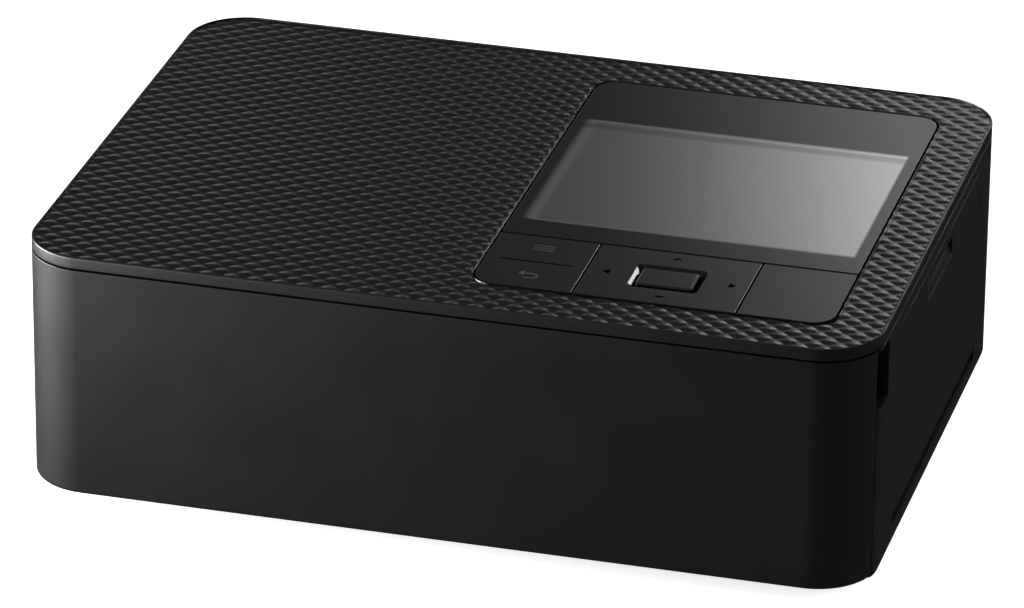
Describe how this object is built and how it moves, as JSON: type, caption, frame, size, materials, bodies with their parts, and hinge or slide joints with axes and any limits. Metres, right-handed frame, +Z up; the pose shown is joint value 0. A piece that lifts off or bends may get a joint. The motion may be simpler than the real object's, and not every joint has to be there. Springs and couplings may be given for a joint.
{
  "type": "compact photo printer",
  "caption": "Low rounded box photo printer with a fold-down front cover, side ink door, flush control panel with screen and keys, and a full dye ribbon print mechanism.",
  "frame": {"origin": "centre of the footprint, on the surface the feet stand on", "axes": "+Z up, front face towards -Y, right side (the ink door) towards +X"},
  "size_m": [0.1822, 0.133, 0.0576],
  "materials": {
    "case_plastic": "fine matte mould texture, near black",
    "top_plastic": "embossed diamond grain, near black",
    "panel_gloss": "smoked clear window, polished",
    "key_gloss": "satin gloss keys, near black",
    "inner_plastic": "dark moulded plastic",
    "grey_plastic": "grey moulded plastic",
    "gear_plastic": "natural acetal",
    "rubber": "soft black rubber",
    "roller_rubber": "ground dark rubber",
    "steel": "bright steel",
    "plated_steel": "zinc plated sheet steel",
    "aluminium": "extruded aluminium",
    "brass": "plain brass",
    "board_green": "glass epoxy board with green resist",
    "lcd_glass": "switched off liquid crystal glass",
    "ceramic": "fired ceramic strip",
    "film": "dye ribbon film",
    "flex": "amber flexible circuit"
  },
  "bodies": {
    "root": {"top_cover": "top_plastic", "front_frame": "inner_plastic", "right_side_cover": "case_plastic", "left_side_cover": "case_plastic", "rear_cover": "case_plastic", "base_pan": "case_plastic", "rubber_feet": "rubber", "casing_screws": "steel", "ink_door_pins": "steel", "front_cover_pins": "steel", "panel_window": "panel_gloss", "key_board": "board_green", "tact_switches": "steel", "lcd_panel": "lcd_glass", "lcd_frame": "plated_steel", "lcd_cable": "flex", "chassis_left_plate": "plated_steel", "chassis_right_plate": "plated_steel", "chassis_tie_bars": "plated_steel", "paper_guide": "inner_plastic", "pinch_springs": "steel", "gear_plate": "plated_steel", "feed_motor": "plated_steel", "ribbon_motor": "plated_steel", "ribbon_film": "film", "ink_cassette_frame": "grey_plastic", "head_pivot_shaft": "steel", "head_springs": "steel", "cam_motor": "plated_steel", "main_board": "board_green", "card_socket": "plated_steel", "usb_socket": "plated_steel", "dc_jack": "inner_plastic"},
    "front_cover": {"front_cover": "case_plastic"},
    "ink_door": {"ink_door": "case_plastic"},
    "menu_back_key": {"menu_back_key": "key_gloss"},
    "nav_pivot": {"nav_pivot_ring": "inner_plastic"},
    "nav_pad": {"nav_pad": "key_gloss"},
    "ok_key": {"ok_key": "key_gloss"},
    "print_key": {"print_key": "key_gloss"},
    "platen": {"platen_roller": "roller_rubber", "platen_gear": "gear_plastic"},
    "capstan": {"capstan_roller": "steel", "capstan_gear": "gear_plastic"},
    "pinch": {"pinch_roller": "roller_rubber"},
    "pickup": {"pickup_roller": "roller_rubber", "pickup_gear": "gear_plastic"},
    "idler": {"idler_gear": "gear_plastic"},
    "compound": {"compound_gear": "gear_plastic"},
    "feed_rotor": {"motor_pinion": "brass"},
    "ribbon_rotor": {"ribbon_pinion": "brass"},
    "take_up": {"take_up_gear": "gear_plastic", "take_up_spool": "inner_plastic"},
    "supply": {"supply_spool": "film"},
    "cam_shaft": {"head_cam_shaft": "gear_plastic"},
    "cam_rotor": {"cam_pinion": "brass"},
    "print_head": {"thermal_head": "ceramic", "head_heatsink": "aluminium", "head_arm_frame": "plated_steel"},
    "eject_lever": {"eject_lever": "grey_plastic"}
  },
  "joints": [
    {"name": "front_cover_hinge", "type": "hinge", "parent": "root", "child": "front_cover", "pos_m": [0, -0.0622, 0.005], "axis": [1, 0, 0], "range_deg": [0, 90]},
    {"name": "ink_door_hinge", "type": "hinge", "parent": "root", "child": "ink_door", "pos_m": [0.0883, 0.0015, 0.0094], "axis": [0, 1, 0], "range_deg": [0, 90]},
    {"name": "menu_back_rock", "type": "hinge", "parent": "root", "child": "menu_back_key", "pos_m": [0.0143, -0.0413, 0.0564], "axis": [1, 0, 0], "range_deg": [-1.2, 1.2], "stiffness_Nm_per_rad": 0.6},
    {"name": "nav_tilt_x", "type": "hinge", "parent": "root", "child": "nav_pivot", "pos_m": [0.04242, -0.0416, 0.0554], "axis": [1, 0, 0], "range_deg": [-1.5, 1.5], "stiffness_Nm_per_rad": 0.6},
    {"name": "nav_tilt_y", "type": "hinge", "parent": "nav_pivot", "child": "nav_pad", "pos_m": [0.04242, -0.0416, 0.0554], "axis": [0, 1, 0], "range_deg": [-1.3, 1.3], "stiffness_Nm_per_rad": 0.6},
    {"name": "ok_press", "type": "slide", "parent": "root", "child": "ok_key", "axis": [0, 0, -1], "range_m": [0, 0.0004], "stiffness_N_per_m": 900},
    {"name": "print_press", "type": "slide", "parent": "root", "child": "print_key", "axis": [0, 0, -1], "range_m": [0, 0.0004], "stiffness_N_per_m": 900},
    {"name": "platen_spin", "type": "hinge", "parent": "root", "child": "platen", "pos_m": [0.02, 0.013, 0.0225], "axis": [1, 0, 0], "continuous": true},
    {"name": "capstan_spin", "type": "hinge", "parent": "root", "child": "capstan", "pos_m": [0.02, -0.021, 0.0255], "axis": [1, 0, 0], "continuous": true},
    {"name": "pinch_spin", "type": "hinge", "parent": "root", "child": "pinch", "pos_m": [0.02, -0.021, 0.0314], "axis": [1, 0, 0], "continuous": true},
    {"name": "pickup_spin", "type": "hinge", "parent": "root", "child": "pickup", "pos_m": [0.02, -0.03641, 0.0322], "axis": [1, 0, 0], "continuous": true},
    {"name": "idler_spin", "type": "hinge", "parent": "root", "child": "idler", "pos_m": [-0.0447, -0.0053, 0.01669], "axis": [1, 0, 0], "continuous": true},
    {"name": "compound_spin", "type": "hinge", "parent": "root", "child": "compound", "pos_m": [-0.047, 0.02484, 0.01819], "axis": [1, 0, 0], "continuous": true},
    {"name": "feed_motor_spin", "type": "hinge", "parent": "root", "child": "feed_rotor", "pos_m": [-0.05, 0.04049, 0.02238], "axis": [1, 0, 0], "continuous": true},
    {"name": "take_up_spin", "type": "hinge", "parent": "root", "child": "take_up", "pos_m": [0.02, -0.005, 0.037], "axis": [1, 0, 0], "continuous": true},
    {"name": "ribbon_motor_spin", "type": "hinge", "parent": "root", "child": "ribbon_rotor", "pos_m": [-0.05, 0.00564, 0.03887], "axis": [1, 0, 0], "continuous": true},
    {"name": "supply_spin", "type": "hinge", "parent": "root", "child": "supply", "pos_m": [0.02, 0.031, 0.037], "axis": [1, 0, 0], "continuous": true},
    {"name": "head_cam_turn", "type": "hinge", "parent": "root", "child": "cam_shaft", "pos_m": [0.02, -0.024, 0.0395], "axis": [1, 0, 0], "range_deg": [0, 180]},
    {"name": "cam_motor_spin", "type": "hinge", "parent": "root", "child": "cam_rotor", "pos_m": [-0.05, -0.03335, 0.0449], "axis": [1, 0, 0], "range_deg": [-468.5, 0.5]},
    {"name": "head_lift", "type": "hinge", "parent": "root", "child": "print_head", "pos_m": [0.02, 0.05, 0.044], "axis": [1, 0, 0], "range_deg": [-0.02, 4.42]},
    {"name": "eject_lever_swing", "type": "hinge", "parent": "root", "child": "eject_lever", "pos_m": [0.082, -0.019, 0.02], "axis": [1, 0, 0], "range_deg": [0, 18], "stiffness_Nm_per_rad": 0.02}
  ],
  "couplings": [
    {"joint": "capstan_spin", "follows": "platen_spin", "ratio": 1.1667},
    {"joint": "idler_spin", "follows": "platen_spin", "ratio": -0.77778},
    {"joint": "pickup_spin", "follows": "platen_spin", "ratio": -0.875},
    {"joint": "compound_spin", "follows": "platen_spin", "ratio": -2},
    {"joint": "feed_motor_spin", "follows": "platen_spin", "ratio": 8.8},
    {"joint": "pinch_spin", "follows": "platen_spin", "ratio": -1.3462},
    {"joint": "ribbon_motor_spin", "follows": "take_up_spin", "ratio": -2},
    {"joint": "supply_spin", "follows": "take_up_spin", "ratio": 1},
    {"joint": "cam_motor_spin", "follows": "head_cam_turn", "ratio": -2.6},
    {"joint": "head_lift", "follows": "head_cam_turn", "ratio": 0.024444}
  ]
}
